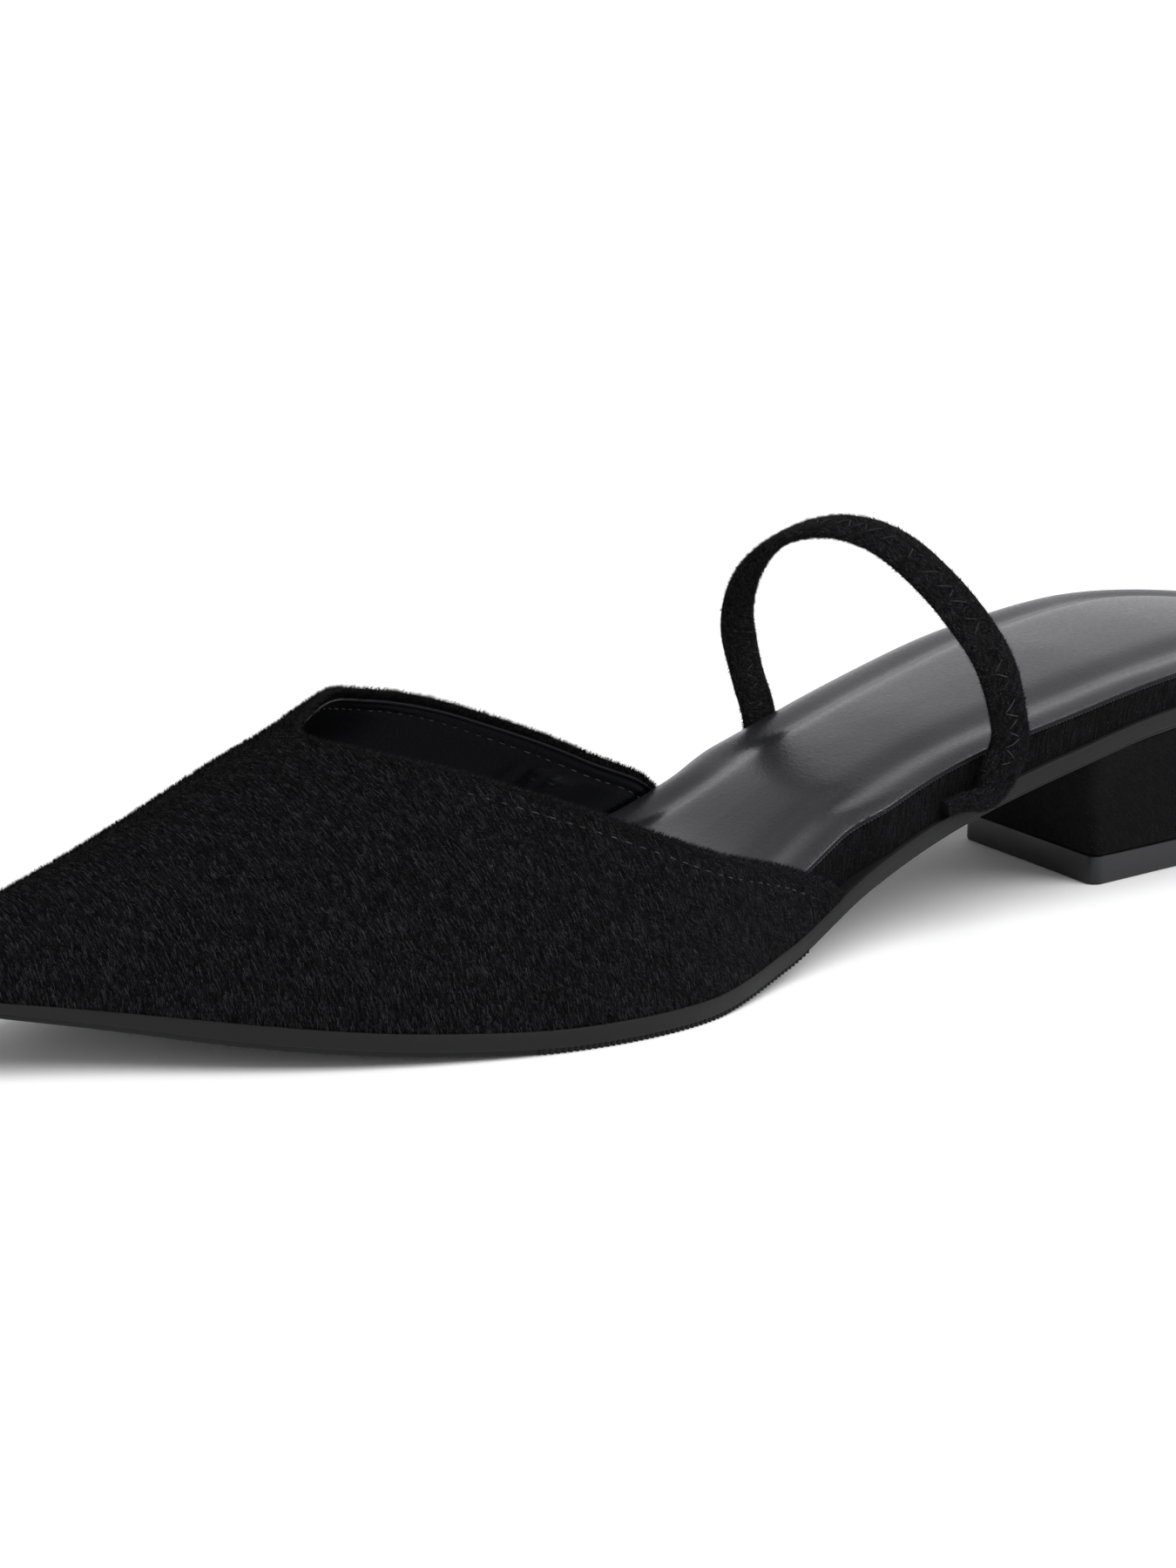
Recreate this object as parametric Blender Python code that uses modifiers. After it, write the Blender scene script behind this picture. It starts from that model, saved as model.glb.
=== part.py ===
"""Pointed mule with a low block heel and one elastic strap over the instep: the left shoe.

The toe points to -Y, +X is the lateral side, +Z is up, and the floor is z = 0.
The origin is on the floor, midway along and across the sole. Lengths are in metres.
Every piece hangs on one last: the sole's outline and profile, and the upper's sections.
"""

import bmesh
import bpy
import numpy as np
from mathutils import Vector

MM = 0.001

# Sole
SOLE_LENGTH = 263 * MM
BALL_WIDTH = 77.6 * MM
HEEL_RISE = 31 * MM
TOE_SPRING = 10.4 * MM
HEEL_ROUND = 30 * MM
TOE_ROUND = 5 * MM
OUTSOLE_THICKNESS = 3.6 * MM
TREAD_HEIGHT = 0.9 * MM
TREAD_STEP = 0.7 * MM

# Heel
HEEL_DEPTH = 65 * MM
HEEL_INSET = 1.4 * MM
LIFT_THICKNESS = 5 * MM
LIFT_WIDTH = 36 * MM
LIFT_FRONT = 55.5 * MM
LIFT_BACK = 8.5 * MM
LIFT_TAPER = 3 * MM
LIFT_ROUND = 12 * MM
HEEL_SKEW = 3.4 * MM
HEEL_CORNER = 2 * MM
HEEL_WAIST = 1.2 * MM
# Share of the heel's depth in which its back curves round
BACK_SHARE = 0.45

# Footbed
RIM_HEIGHT = 9.4 * MM
RIM_INSET = 1.0 * MM
RIM_SHOULDER = 0.5 * MM
FOOTBED_END = 10 * MM
INSOLE_EDGE = 1.2 * MM
INSOLE_DOME = 1.6 * MM
INSOLE_GROOVE = 0.9 * MM
GROOVE_FROM_EDGE = 8 * MM
GROOVE_WIDTH = 3.2 * MM
# How steeply the insole's dome rises from its edge, and how near the upper's crest it may reach
DOME_POWER = 0.7
FULL_HEIGHT = 0.98

# Upper
UPPER_WALL = 1.8 * MM
UPPER_INSET = 0.3 * MM
VAMP_HEIGHT = 40 * MM
UPPER_TIP = 0.25 * MM

# Strap
STRAP_WIDTH = 7.2 * MM
STRAP_THICKNESS = 1.9 * MM
STRAP_ARCH = 42 * MM
STRAP_CORNER = 0.475 * MM

CLEARANCE = 0.3 * MM


def table(columns, *rows):
    """Rows of numbers as one array for each named column; the first column is where each row lies."""
    return dict(zip(columns.split(), np.array(rows, float).T))


# Shares of SOLE_LENGTH from the heel, of BALL_WIDTH for the outline's middle (to the lateral
# side) and its width, of HEEL_RISE and TOE_SPRING for its underside, and of OUTSOLE_THICKNESS.
SOLE = table(
    "along middle width rise spring thickness",
    (0.00, -0.0340, 0.727, 1.000, 0.00, 1.00),
    (0.06, -0.0330, 0.723, 0.990, 0.00, 1.00),
    (0.12, -0.0310, 0.717, 0.965, 0.00, 1.00),
    (0.20, -0.0280, 0.703, 0.890, 0.00, 1.00),
    (0.28, -0.0195, 0.668, 0.742, 0.00, 1.00),
    (0.36, -0.0040, 0.613, 0.555, 0.00, 1.00),
    (0.44, 0.0210, 0.627, 0.342, 0.00, 1.00),
    (0.52, 0.0345, 0.730, 0.082, 0.00, 1.00),
    (0.60, 0.0260, 0.930, 0.000, 0.00, 1.00),
    (0.68, -0.0050, 1.000, 0.000, 0.00, 1.00),
    (0.76, -0.0255, 0.894, 0.000, 0.10, 1.00),
    (0.84, -0.0330, 0.655, 0.000, 0.31, 1.00),
    (0.92, -0.0395, 0.340, 0.000, 0.64, 0.80),
    (1.00, -0.0405, 0.090, 0.000, 1.00, 0.55),
)

# Height of the footbed's edge over the outsole, as a share of RIM_HEIGHT, and how far the
# footbed has stepped in under the upper.
RIM = table(
    "along height under",
    (0.00, 0.72, 0),
    (0.12, 0.69, 0),
    (0.20, 0.65, 0),
    (0.28, 0.70, 0),
    (0.36, 0.82, 0),
    (0.42, 0.86, 0),
    (0.46, 0.87, 1),
    (0.56, 0.80, 1),
    (0.72, 0.62, 1),
    (1.00, 0.42, 1),
)

# The upper's crest over the feather line as a share of VAMP_HEIGHT, and how much narrower than
# an ellipse its section is towards the crest.
CREST = table(
    "along height lean",
    (0.40, 1.560, 0.26),
    (0.50, 1.480, 0.28),
    (0.60, 1.330, 0.32),
    (0.70, 1.165, 0.34),
    (0.74, 1.045, 0.34),
    (0.77, 0.930, 0.34),
    (0.80, 0.830, 0.32),
    (0.84, 0.683, 0.30),
    (0.88, 0.538, 0.26),
    (0.92, 0.405, 0.20),
    (0.96, 0.280, 0.10),
    (1.00, 0.180, 0.00),
)

# Where the topline lies, as a share of SOLE_LENGTH, round the section from the lateral
# feather line (0) over the crest (0.5) to the medial one (1).
TOPLINE = table(
    "around along",
    (0.00, 0.468),
    (0.05, 0.504),
    (0.10, 0.560),
    (0.20, 0.665),
    (0.30, 0.733),
    (0.40, 0.765),
    (0.45, 0.772),
    (0.50, 0.770),
    (0.55, 0.756),
    (0.60, 0.737),
    (0.65, 0.716),
    (0.70, 0.689),
    (0.80, 0.598),
    (0.90, 0.511),
    (0.95, 0.473),
    (1.00, 0.452),
)

# The strap's middle line from the lateral seam to the medial one: shares of SOLE_LENGTH, of the
# rim's half width, of STRAP_ARCH over the seam and of STRAP_WIDTH, and its tilt to the toe.
STRAP = table(
    "step along across lift width tilt",
    (0, 0.380, 1.000, 0.043, 0.36, 0.00),
    (1, 0.369, 1.030, 0.041, 0.42, 0.00),
    (2, 0.358, 1.065, 0.026, 0.55, 0.00),
    (3, 0.349, 1.080, 0.044, 0.78, 0.05),
    (4, 0.342, 1.090, 0.112, 0.95, 0.10),
    (5, 0.338, 1.105, 0.208, 1.00, 0.15),
    (6, 0.342, 1.12, 0.325, 1.00, 0.20),
    (7, 0.348, 1.12, 0.450, 1.00, 0.25),
    (8, 0.354, 1.06, 0.578, 1.00, 0.30),
    (9, 0.360, 0.95, 0.687, 1.00, 0.35),
    (10, 0.364, 0.80, 0.780, 1.00, 0.35),
    (11, 0.367, 0.59, 0.868, 1.00, 0.35),
    (12, 0.369, 0.34, 0.943, 1.00, 0.35),
    (13, 0.372, 0.07, 0.992, 1.00, 0.35),
    (14, 0.376, -0.22, 1.008, 1.00, 0.35),
    (15, 0.380, -0.50, 0.986, 1.00, 0.35),
    (16, 0.382, -0.77, 0.926, 1.00, 0.30),
    (17, 0.381, -1.02, 0.822, 1.00, 0.25),
    (18, 0.378, -1.20, 0.690, 1.00, 0.20),
    (19, 0.375, -1.28, 0.550, 1.00, 0.15),
    (20, 0.372, -1.26, 0.418, 1.00, 0.10),
    (21, 0.371, -1.18, 0.300, 1.00, 0.05),
    (22, 0.371, -1.08, 0.195, 1.00, 0.00),
    (23, 0.374, -1.03, 0.110, 0.95, 0.00),
    (24, 0.384, -1.02, 0.062, 0.75, 0.00),
    (25, 0.400, -1.01, 0.050, 0.50, 0.00),
    (26, 0.418, -1.00, 0.048, 0.35, 0.00),
)

# How finely the lofts are cut
SOLE_STATIONS = 44
END_STATIONS = 8
END_TURN = 0.05
UPPER_AROUND = 32
UPPER_ALONG = 22
INSOLE_ACROSS = 14
STRAP_RINGS = 70
HEEL_LEVELS = 7
HEEL_SIDE = 9
HEEL_TURN = 0.2
TIP_POWER = 1.3
HALF_STEP = 0.1

# Base colour and roughness
SUEDE = ((0.006, 0.006, 0.007), 0.95)
RUBBER = ((0.020, 0.020, 0.022), 0.55)
SOCK = ((0.055, 0.055, 0.060), 0.38)


def smooth(rows, column, at):
    """A natural cubic spline through a table's column."""
    x, y = next(iter(rows.values())), rows[column]
    count = len(x)
    step = np.diff(x)
    system, right = np.eye(count), np.zeros(count)
    for i in range(1, count - 1):
        system[i, i - 1 : i + 2] = step[i - 1], 2 * (step[i - 1] + step[i]), step[i]
        right[i] = 6 * ((y[i + 1] - y[i]) / step[i] - (y[i] - y[i - 1]) / step[i - 1])
    bend = np.linalg.solve(system, right)
    at = np.clip(at, x[0], x[-1])
    i = np.clip(np.searchsorted(x, at, side="right") - 1, 0, count - 2)
    a, b = (x[i + 1] - at) / step[i], (at - x[i]) / step[i]
    return a * y[i] + b * y[i + 1] + ((a**3 - a) * bend[i] + (b**3 - b) * bend[i + 1]) * step[i] ** 2 / 6


def steady(rows, column, at):
    """A cubic curve through a table's column that never overshoots, so that level rows stay level."""
    x, y = next(iter(rows.values())), rows[column]
    step = np.diff(x)
    slope = np.diff(y) / step
    tangent = np.zeros(len(x))
    tangent[0], tangent[-1] = slope[0], slope[-1]
    for i in range(1, len(x) - 1):
        if slope[i - 1] * slope[i] > 0:
            tangent[i] = 2 / (1 / slope[i - 1] + 1 / slope[i])
    at = np.clip(at, x[0], x[-1])
    i = np.clip(np.searchsorted(x, at, side="right") - 1, 0, len(x) - 2)
    t = (at - x[i]) / step[i]
    level = y[i] * (2 * t**3 - 3 * t**2 + 1) + y[i + 1] * (3 * t**2 - 2 * t**3)
    return level + step[i] * (tangent[i] * (t**3 - 2 * t**2 + t) + tangent[i + 1] * (t**3 - t**2))


def rounding(distance, radius):
    """How much of the width is there at this distance from a round end: 0 to 1."""
    inward = np.clip(distance / radius, 0, 1)
    return np.sqrt(1 - (1 - inward) ** 2)


def middle(along):
    return BALL_WIDTH * smooth(SOLE, "middle", along / SOLE_LENGTH)


def full_half(along, inset=0.0):
    """Half of the outline's width without its round ends, inset on both sides."""
    return BALL_WIDTH / 2 * smooth(SOLE, "width", along / SOLE_LENGTH) - inset


def half_width(along, inset=0.0):
    """Half of the outline's width, inset all round."""
    heel = rounding(along - inset, HEEL_ROUND - inset)
    toe = rounding(SOLE_LENGTH - inset - along, TOE_ROUND)
    return full_half(along, inset) * heel * toe


def underside(along):
    """Height of the outsole's underside over the floor."""
    share = along / SOLE_LENGTH
    return HEEL_RISE * steady(SOLE, "rise", share) + TOE_SPRING * steady(SOLE, "spring", share)


def seam(along):
    """Height of the outsole's top face, where the footbed and the upper meet it."""
    return underside(along) + OUTSOLE_THICKNESS * steady(SOLE, "thickness", along / SOLE_LENGTH)


def rim_height(along):
    return RIM_HEIGHT * steady(RIM, "height", along / SOLE_LENGTH)


def upper_height(along, inset):
    toe = rounding(SOLE_LENGTH - inset - along, TOE_ROUND)
    return (VAMP_HEIGHT * smooth(CREST, "height", along / SOLE_LENGTH) - inset) * toe


def upper_narrowing(along, rise):
    """The upper's width at a share of its height, as a share of its width at the feather line."""
    return np.sqrt(1 - rise**2) * (1 - smooth(CREST, "lean", along / SOLE_LENGTH) * rise**2)


def footbed_half(along, height):
    """Half of the footbed's width at a height over the outsole, clear of the upper's inside."""
    under = steady(RIM, "under", along / SOLE_LENGTH)
    inset = RIM_INSET + (UPPER_INSET + UPPER_WALL + 2 * CLEARANCE - RIM_INSET) * under
    heel = rounding(along - RIM_INSET, HEEL_ROUND - RIM_INSET)
    toe = rounding(SOLE_LENGTH - FOOTBED_END - along, TOE_ROUND)
    filled = np.clip(height / upper_height(along, inset), 0, FULL_HEIGHT) * under
    return full_half(along, inset) * heel * toe * upper_narrowing(along, filled)


def place(along, across, up):
    """A point of the shoe, from its distance along the sole, across it and over the floor."""
    return Vector((across, SOLE_LENGTH / 2 - along, up))


def stations(start, end, toe_round):
    """Distances along the sole, closer together in its round ends."""
    turn = np.linspace(END_TURN, np.pi / 2, END_STATIONS)
    first = start + HEEL_ROUND * (1 - np.cos(turn))
    last = end - toe_round * (1 - np.cos(turn))
    between = np.linspace(first[-1], last[-1], SOLE_STATIONS)[1:-1]
    return np.concatenate([first, between, last[::-1]])


def loft(rings):
    """A closed solid through rings with the same number of points, paired from their two ends."""
    shape = bmesh.new()
    made = [[shape.verts.new(point) for point in ring] for ring in rings]
    count = len(made[0])
    for ring, following in zip(made, made[1:]):
        for i in range(count):
            j = (i + 1) % count
            shape.faces.new((ring[i], ring[j], following[j], following[i]))
    for ring in (made[0], made[-1]):
        for i in range(count // 2 - 1):
            shape.faces.new((ring[i], ring[i + 1], ring[count - 2 - i], ring[count - 1 - i]))
    return shape


def mirrored(along, outline):
    """A cross section of the sole from its lateral half, given as pairs of half width and height."""
    centre = middle(along)
    lateral = [place(along, centre + half, up) for half, up in outline]
    medial = [place(along, centre - half, up) for half, up in reversed(outline)]
    return lateral + medial


def finish(shape, name, finish_of, collection):
    """Makes a named object of a mesh, with its material and with smooth shading between sharp edges."""
    bmesh.ops.recalc_face_normals(shape, faces=shape.faces)
    mesh = bpy.data.meshes.new(name)
    shape.to_mesh(mesh)
    shape.free()
    mesh.shade_smooth()
    mesh.set_sharp_from_angle(angle=np.radians(40))
    colour, roughness = finish_of
    material = bpy.data.materials.new(name)
    material.use_nodes = True
    shader = material.node_tree.nodes["Principled BSDF"]
    shader.inputs["Base Color"].default_value = (*colour, 1)
    shader.inputs["Roughness"].default_value = roughness
    shader.inputs["Metallic"].default_value = 0
    mesh.materials.append(material)
    obj = bpy.data.objects.new(name, mesh)
    collection.objects.link(obj)
    return obj


def outsole(collection):
    """Thin sole whose tread layer steps in round its foot."""
    rings = []
    for along in stations(0, SOLE_LENGTH, TOE_ROUND):
        half = half_width(along)
        foot = half * (1 - TREAD_STEP / full_half(along))
        low = underside(along)
        step = low + TREAD_HEIGHT
        rings.append(mirrored(along, [(half, seam(along)), (half, step), (foot, step), (foot, low)]))
    return finish(loft(rings), "outsole", RUBBER, collection)


def footbed_stations():
    return stations(RIM_INSET, SOLE_LENGTH - FOOTBED_END, TOE_ROUND)


def footbed_rim(collection):
    """The covered platform under the insole, standing on the outsole."""
    rings = []
    for along in footbed_stations():
        top = rim_height(along) - INSOLE_EDGE
        shoulder = top - RIM_SHOULDER
        heights = (CLEARANCE, shoulder / 2, shoulder, top)
        halves = [footbed_half(along, height) for height in heights]
        halves[-1] = max(halves[-1] - RIM_SHOULDER, halves[-1] / 2)
        outline = [(half, seam(along) + height) for half, height in zip(halves, heights)]
        rings.append(mirrored(along, outline))
    return finish(loft(rings), "footbed_rim", SUEDE, collection)


def insole_relief(from_edge, half):
    """Height of the padded insole over its edge: a dome inside a pressed groove."""
    dome = INSOLE_DOME * np.clip(from_edge / half, 0, 1) ** DOME_POWER
    return dome - INSOLE_GROOVE * np.exp(-(((from_edge - GROOVE_FROM_EDGE) / GROOVE_WIDTH) ** 2))


def insole(collection):
    """Padded insole that covers the footbed up to its edge."""
    rings = []
    for along in footbed_stations():
        height = rim_height(along)
        half = footbed_half(along, height)
        shares = np.sin(np.linspace(np.pi / 2, -np.pi / 2, INSOLE_ACROSS))
        from_edge = np.minimum(half - half * np.abs(shares), along - RIM_INSET)
        edge = seam(along) + height
        centre = middle(along)
        tops = edge + insole_relief(from_edge, full_half(along))
        low = edge - INSOLE_EDGE + CLEARANCE
        top = [place(along, centre + half * share, up) for share, up in zip(shares, tops)]
        rings.append(top + [place(along, centre + half * share, low) for share in reversed(shares)])
    return finish(loft(rings), "insole", SOCK, collection)


def upper_point(along, around):
    """A point of the upper's outside, round its section from the lateral edge (0) to the medial (1)."""
    toe = rounding(SOLE_LENGTH - UPPER_INSET - along, TOE_ROUND)
    rise = np.sin(np.pi * around)
    half = full_half(along, UPPER_INSET) * toe * upper_narrowing(along, rise)
    across = middle(along) + np.copysign(half, 0.5 - around)
    return place(along, across, seam(along) + CLEARANCE + upper_height(along, UPPER_INSET) * rise)


def upper(collection):
    """The vamp: one hollow shell, open at the topline and underneath."""
    shape = bmesh.new()
    tip = SOLE_LENGTH - UPPER_INSET - UPPER_TIP
    rows = []
    for share in np.linspace(0, 1, UPPER_ALONG) ** TIP_POWER:
        row = []
        for around in np.linspace(0, 1, UPPER_AROUND):
            edge = SOLE_LENGTH * smooth(TOPLINE, "along", around)
            row.append(shape.verts.new(upper_point(tip + (edge - tip) * share, around)))
        rows.append(row)
    for row, following in zip(rows, rows[1:]):
        for i in range(UPPER_AROUND - 1):
            shape.faces.new((row[i], row[i + 1], following[i + 1], following[i]))
    shape.faces.new(rows[0])
    obj = finish(shape, "upper", SUEDE, collection)
    wall = obj.modifiers.new("wall", "SOLIDIFY")
    wall.thickness = UPPER_WALL
    wall.offset = -1
    wall.use_even_offset = True
    return obj


def strap_point(step):
    along = SOLE_LENGTH * smooth(STRAP, "along", step)
    reach = half_width(along, RIM_INSET) + CLEARANCE + STRAP_THICKNESS / 2
    across = middle(along) + reach * smooth(STRAP, "across", step)
    return place(along, across, seam(along) + STRAP_ARCH * smooth(STRAP, "lift", step))


def strap_ring(step):
    """The band's section, a flat bar with cut corners, its outer face turned from the foot."""
    point = strap_point(step)
    run = (strap_point(step + HALF_STEP) - strap_point(step - HALF_STEP)).normalized()
    heart = strap_point(0).lerp(strap_point(STRAP["step"][-1]), 0.5)
    outward = Vector((point.x - heart.x, 0, point.z - heart.z)).normalized()
    outward.y = -smooth(STRAP, "tilt", step)
    outward = (outward - run * outward.dot(run)).normalized()
    breadth = run.cross(outward)
    wide = STRAP_WIDTH / 2 * smooth(STRAP, "width", step)
    thick = STRAP_THICKNESS / 2
    corner = STRAP_CORNER
    side = [(wide - corner, thick), (wide, thick - corner), (wide, corner - thick), (wide - corner, -thick)]
    ring = side + [(-across, out) for across, out in reversed(side)]
    return [point + breadth * across + outward * out for across, out in ring]


def strap(collection):
    """One flat elastic band from the lateral seam over the instep to the medial seam."""
    steps = np.linspace(0, STRAP["step"][-1], STRAP_RINGS)
    return finish(loft([strap_ring(step) for step in steps]), "strap", SUEDE, collection)


def lift_half(along):
    """Half of the top lift's width: nearly square at the front, narrower and rounded at the back."""
    back = (LIFT_FRONT - along) / (LIFT_FRONT - LIFT_BACK)
    return (LIFT_WIDTH / 2 - LIFT_TAPER * back) * rounding(along - LIFT_BACK, LIFT_ROUND)


def heel_side(level, side):
    """One side of the heel's outline at a level, from back to front: 1 is lateral, -1 medial."""
    turn = np.linspace(HEEL_TURN, np.pi / 2, HEEL_SIDE)
    depth = LIFT_FRONT - LIFT_BACK
    corner = HEEL_CORNER / depth
    back = BACK_SHARE * (1 - np.cos(turn))
    front = 1 - corner * (1 - np.sin(turn[::2]))
    shares = np.concatenate([back, np.linspace(back[-1], front[0], HEEL_SIDE)[1:-1], front])
    points = []
    for share in shares:
        skew = side * HEEL_SKEW / 2 * share
        seat = HEEL_INSET + (HEEL_DEPTH - HEEL_INSET) * share + skew
        lift = LIFT_BACK + (LIFT_FRONT - LIFT_BACK) * share
        half = half_width(seat, HEEL_INSET) * (1 - level) + lift_half(lift) * level
        half *= 1 - 4 * level * (1 - level) * HEEL_WAIST / (LIFT_WIDTH / 2)
        half -= HEEL_CORNER * (1 - rounding((1 - share) * depth, HEEL_CORNER))
        centre = middle(seat) * (1 - level) + middle(LIFT_FRONT) * level
        top = underside(seat) - CLEARANCE
        height = top + (LIFT_THICKNESS + CLEARANCE - top) * level
        points.append(place(seat + (lift + skew - seat) * level, centre + side * half, height))
    return points


def heel_ring(level):
    """The heel's outline at a level, from its seat (0) to its top lift (1)."""
    return heel_side(level, 1) + heel_side(level, -1)[::-1]


def heel_block(collection):
    """The covered block: the seat's outline on top, drawn in to its top lift."""
    rings = [heel_ring(level) for level in np.linspace(0, 1, HEEL_LEVELS)]
    return finish(loft(rings), "heel_block", SUEDE, collection)


def heel_top_lift(collection):
    """The rubber top lift that stands on the floor."""
    rings = [[Vector((point.x, point.y, up)) for point in heel_ring(1)] for up in (LIFT_THICKNESS, 0)]
    return finish(loft(rings), "heel_top_lift", RUBBER, collection)


def main():
    for obj in list(bpy.data.objects):
        bpy.data.objects.remove(obj)
    collection = bpy.data.collections.new("low_heel_mule")
    bpy.context.scene.collection.children.link(collection)
    for make in (outsole, heel_block, heel_top_lift, footbed_rim, insole, upper, strap):
        make(collection)


main()
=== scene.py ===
"""Looks of a pointed mule with a low block heel and one elastic strap: the left shoe.

The toe points to -Y, +X is the lateral side, +Z is up, and the floor is z = 0. Lengths are in
metres. Every piece is cut from the last that the solids have: the tables give the sole's
outline and profile, the upper's sections, the topline and the strap as shares of named sizes.
"""

import bpy
import numpy as np
from mathutils import Matrix, Vector


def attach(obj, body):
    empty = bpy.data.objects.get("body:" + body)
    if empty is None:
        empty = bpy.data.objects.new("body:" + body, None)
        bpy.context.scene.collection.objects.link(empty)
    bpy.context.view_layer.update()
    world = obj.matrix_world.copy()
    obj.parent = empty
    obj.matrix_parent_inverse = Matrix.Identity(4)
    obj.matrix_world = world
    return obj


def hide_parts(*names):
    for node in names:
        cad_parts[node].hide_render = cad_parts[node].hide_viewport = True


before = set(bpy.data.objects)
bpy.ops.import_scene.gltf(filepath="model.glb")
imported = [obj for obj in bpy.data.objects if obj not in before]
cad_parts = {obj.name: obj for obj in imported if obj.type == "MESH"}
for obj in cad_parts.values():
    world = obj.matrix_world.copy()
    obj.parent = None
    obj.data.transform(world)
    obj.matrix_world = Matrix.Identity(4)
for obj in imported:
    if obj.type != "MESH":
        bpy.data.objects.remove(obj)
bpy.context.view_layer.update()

MM = 0.001

# Sole: the tread runs between shares of its length; a tooth steps in by a share of TREAD_STEP
SOLE_LENGTH = 263 * MM
BALL_WIDTH = 77.6 * MM
HEEL_RISE = 31 * MM
TOE_SPRING = 10.4 * MM
HEEL_ROUND = 30 * MM
TOE_ROUND = 5 * MM
OUTSOLE_THICKNESS = 3.6 * MM
SEAM_BEVEL = 0.45 * MM
TREAD_HEIGHT = 0.9 * MM
TREAD_STEP = 0.7 * MM
TREAD_PITCH = 0.95 * MM
TREAD_GROOVE = 0.3 * MM
TREAD_START = 0.50
TREAD_END = 0.71
TOOTH_STEP = 0.35

# Heel: its round back takes a share of its depth
HEEL_DEPTH = 65 * MM
HEEL_INSET = 1.4 * MM
LIFT_THICKNESS = 5 * MM
LIFT_WIDTH = 36 * MM
LIFT_FRONT = 55.5 * MM
LIFT_BACK = 8.5 * MM
LIFT_TAPER = 3 * MM
LIFT_ROUND = 12 * MM
LIFT_EDGE = 0.5 * MM
HEEL_SKEW = 3.4 * MM
HEEL_CORNER = 2 * MM
HEEL_WAIST = 1.2 * MM
HEEL_BACK = 0.45

# Footbed: the rim's nap and its beads end under the upper, at shares of SOLE_LENGTH, and the
# insole counts as its edge, painted in shade, where its normal rises less than EDGE_SLOPE
RIM_HEIGHT = 9.4 * MM
RIM_INSET = 1.0 * MM
RIM_SHOULDER = 0.5 * MM
RIM_TURN_IN = 2.5 * MM
RIM_NAP_END = 0.53
FOOTBED_END = 10 * MM
FOOTBED_SPACING = 0.9 * MM
INSOLE_EDGE = 1.2 * MM
INSOLE_ROUND = 0.25 * MM
INSOLE_DOME = 1.6 * MM
INSOLE_FULLNESS = 0.8
INSOLE_SHOULDER = 0.5 * MM
SHOULDER_WIDTH = 3.5 * MM
INSOLE_GROOVE = 0.9 * MM
GROOVE_FROM_EDGE = 8 * MM
GROOVE_WIDTH = 3.2 * MM
EDGE_SLOPE = 0.8
BEAD_RADIUS = 0.2 * MM
BEAD_PITCH = 0.7 * MM
BEADS_END = 0.52

# Upper: the suede's fold at the topline ends behind it, and the lining starts there. TUCK is how
# far in and how far down the suede's bottom edges are turned under it.
UPPER_WALL = 1.8 * MM
UPPER_INSET = 0.3 * MM
VAMP_HEIGHT = 40 * MM
FOLD_RADIUS = 0.65 * MM
FOLD_END = 3 * MM
TUCK = ((0.25 * MM, 0.18 * MM), (1.6 * MM, 0.26 * MM))
LINING_FOLD = 0.32 * MM
LINING_START = 2.6 * MM
LINING_INSIDE = 5.6 * MM
LINING_END = 0.93

# Stitches: both rows run between two places round the upper's section. Past STITCHES_SHOW the
# outer row sinks into the nap, by STITCH_SINKS thread radii.
STITCHED = (0.012, 0.988)
STITCH_FROM_EDGE = 3.1 * MM
LINING_STITCH_FROM_EDGE = 3.2 * MM
STITCH_PITCH = 2.4 * MM
STITCH_LENGTH = 1.35 * MM
STITCHES_SHOW = 0.24
STITCH_SINKS = 12
STITCH_SINKS_OVER = 0.04
THREAD_RADIUS = 0.10 * MM

# Strap: powers under 1 square its section, across and outward. Each face's zigzag runs between
# two steps of the STRAP table.
STRAP_WIDTH = 7.2 * MM
STRAP_THICKNESS = 1.9 * MM
STRAP_ARCH = 42 * MM
STRAP_SQUARENESS = (0.45, 0.75)
STRAP_CROWN = 0.15
ZIGZAG_PITCH = 3.3 * MM
ZIGZAG_WIDTH = 2.6 * MM
ZIGZAG_PROUD = 0.12 * MM
ZIGZAG_BOW = 0.9 * MM
ZIGZAG_OUTSIDE = (3.2, 21.8)
ZIGZAG_INSIDE = (20.2, 22.6)

CLEARANCE = 0.3 * MM

# Nap: fibres rise between two angles, in radians, and spread round the way they are brushed. A
# layer says how many it has and where they differ from the usual ones.
NAP_ANGLE = np.radians(80)
FIBRE_LENGTH = 0.9 * MM
FIBRE_WIDTH = 0.09 * MM
FIBRE_RISE = (0.1, 1.1)
FIBRE_SPREAD = 0.3
VAMP_NAP = dict(count=88000, seed=3, rise=(0.2, 1.4))
VAMP_TUFTS = dict(count=18000, seed=7, width=0.2 * MM, rise=(0.5, 1.3))
VAMP_STROKES = dict(
    count=60000, seed=5, length=1.8 * MM, width=0.17 * MM, rise=(0.01, 0.12), spread=0.13
)
FOLD_NAP = dict(count=20000, seed=4, width=0.06 * MM, rise=(0.1, 1.3))
STRAP_NAP = dict(count=40000, seed=8, length=0.8 * MM, width=0.08 * MM, rise=(0.1, 1.2))
STRAP_TUFTS = dict(count=5000, seed=10, length=0.7 * MM, width=0.2 * MM, rise=(0.3, 1.1))
RIM_NAP = dict(count=9000, length=0.6 * MM, width=0.06 * MM)
HEEL_NAP = dict(count=12000, seed=31, length=0.4 * MM, width=0.05 * MM)

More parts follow.
